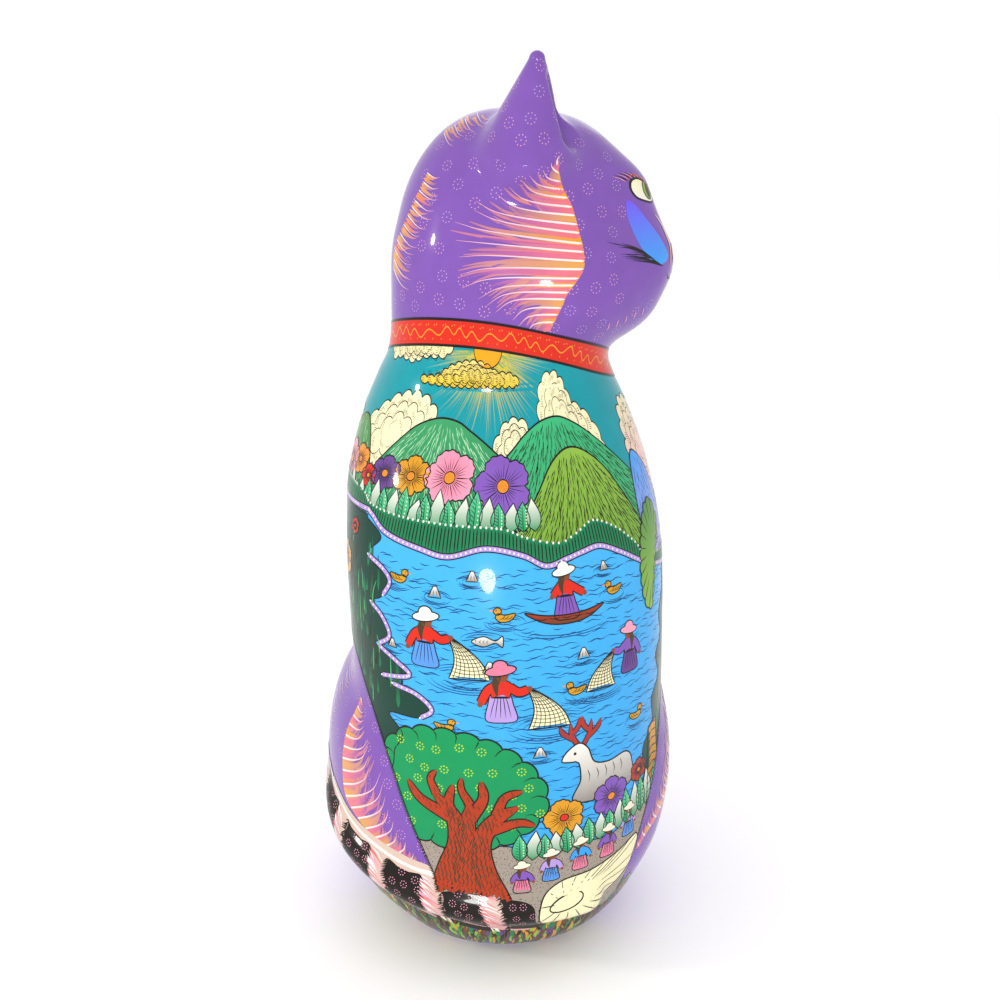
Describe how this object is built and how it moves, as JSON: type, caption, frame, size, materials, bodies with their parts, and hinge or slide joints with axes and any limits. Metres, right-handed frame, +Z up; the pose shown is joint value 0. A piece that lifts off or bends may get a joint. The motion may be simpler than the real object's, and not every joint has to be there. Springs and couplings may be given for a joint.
{
  "type": "seated cat figure",
  "caption": "Tall seated ceramic cat looking back over its right shoulder, tail wrapped round its left side, flat glazed underside.",
  "frame": {"origin": "on the flat underside, straight below the middle of the body", "axes": "+Z up to the ear tips, the body faces -Y, the cat's own left is +X, the nose points to -X"},
  "size_m": [0.1772, 0.1993, 0.4206],
  "materials": {
    "painted_glaze": "high gloss, hand painted"
  },
  "bodies": {
    "root": {"cat": "painted_glaze"}
  },
  "joints": []
}
